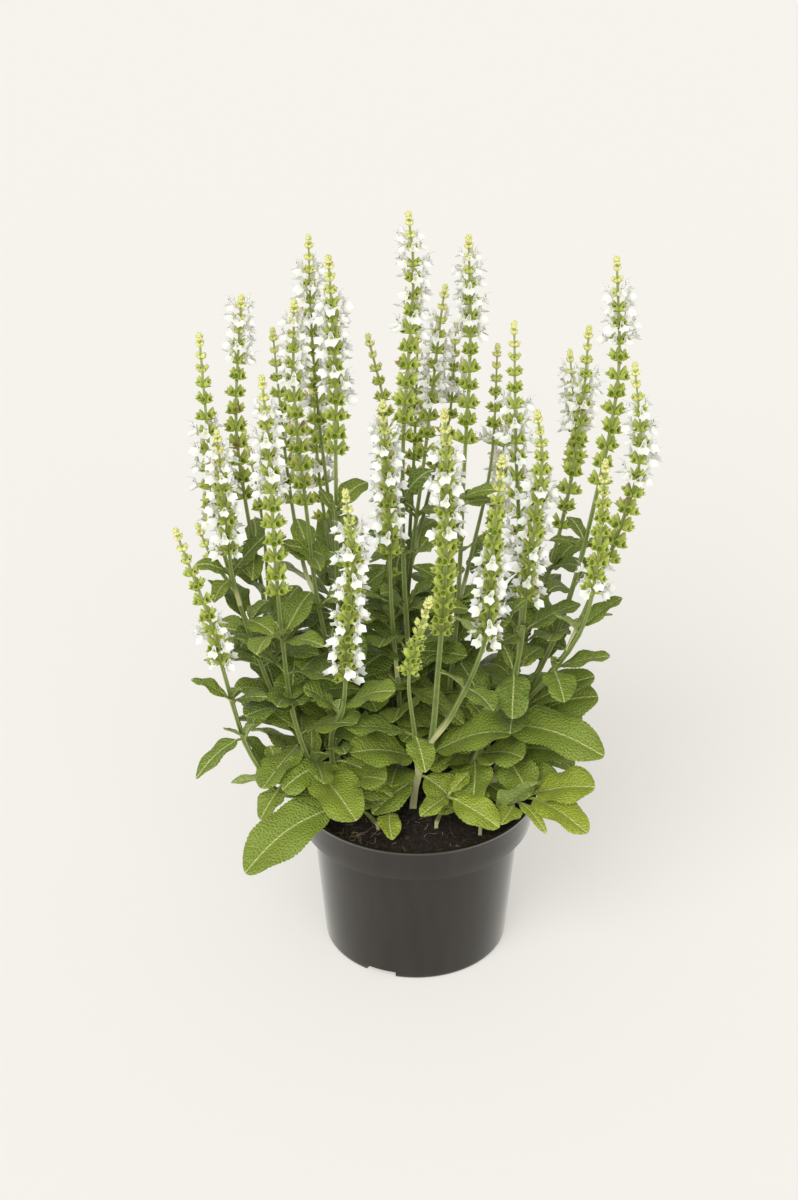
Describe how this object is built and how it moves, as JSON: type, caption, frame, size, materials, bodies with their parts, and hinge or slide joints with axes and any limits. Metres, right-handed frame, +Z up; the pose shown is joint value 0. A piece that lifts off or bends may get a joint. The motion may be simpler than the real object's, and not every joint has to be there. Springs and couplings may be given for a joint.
{
  "type": "potted perennial plant",
  "caption": "Perennial salvia with upright whorled flower spikes and wrinkled leaves, growing in a round tapered nursery pot filled with peat.",
  "frame": {"origin": "middle of the pot's flat underside, on the surface it stands on", "axes": "+Z up along the pot and the stems, -Y towards the front of the plant, +X to its right as seen from the front"},
  "size_m": [0.3073, 0.2404, 0.547],
  "materials": {
    "pot_plastic": "satin moulded plastic, dark warm grey",
    "peat": null,
    "stem_green": null,
    "leaf_green": null
  },
  "bodies": {
    "root": {"pot": "pot_plastic", "peat": "peat", "flowering_stem_01": "stem_green", "flowering_stem_02": "stem_green", "flowering_stem_03": "stem_green", "flowering_stem_04": "stem_green", "flowering_stem_05": "stem_green", "flowering_stem_06": "stem_green", "flowering_stem_07": "stem_green", "flowering_stem_08": "stem_green", "flowering_stem_09": "stem_green", "flowering_stem_10": "stem_green", "flowering_stem_11": "stem_green", "flowering_stem_12": "stem_green", "flowering_stem_13": "stem_green", "flowering_stem_14": "stem_green", "flowering_stem_15": "stem_green", "flowering_stem_16": "stem_green", "flowering_stem_17": "stem_green", "flowering_stem_18": "stem_green", "flowering_stem_19": "stem_green", "young_shoot_01": "leaf_green", "young_shoot_02": "leaf_green", "young_shoot_03": "leaf_green", "young_shoot_04": "leaf_green", "young_shoot_05": "leaf_green", "young_shoot_06": "leaf_green", "young_shoot_07": "leaf_green"}
  },
  "joints": []
}
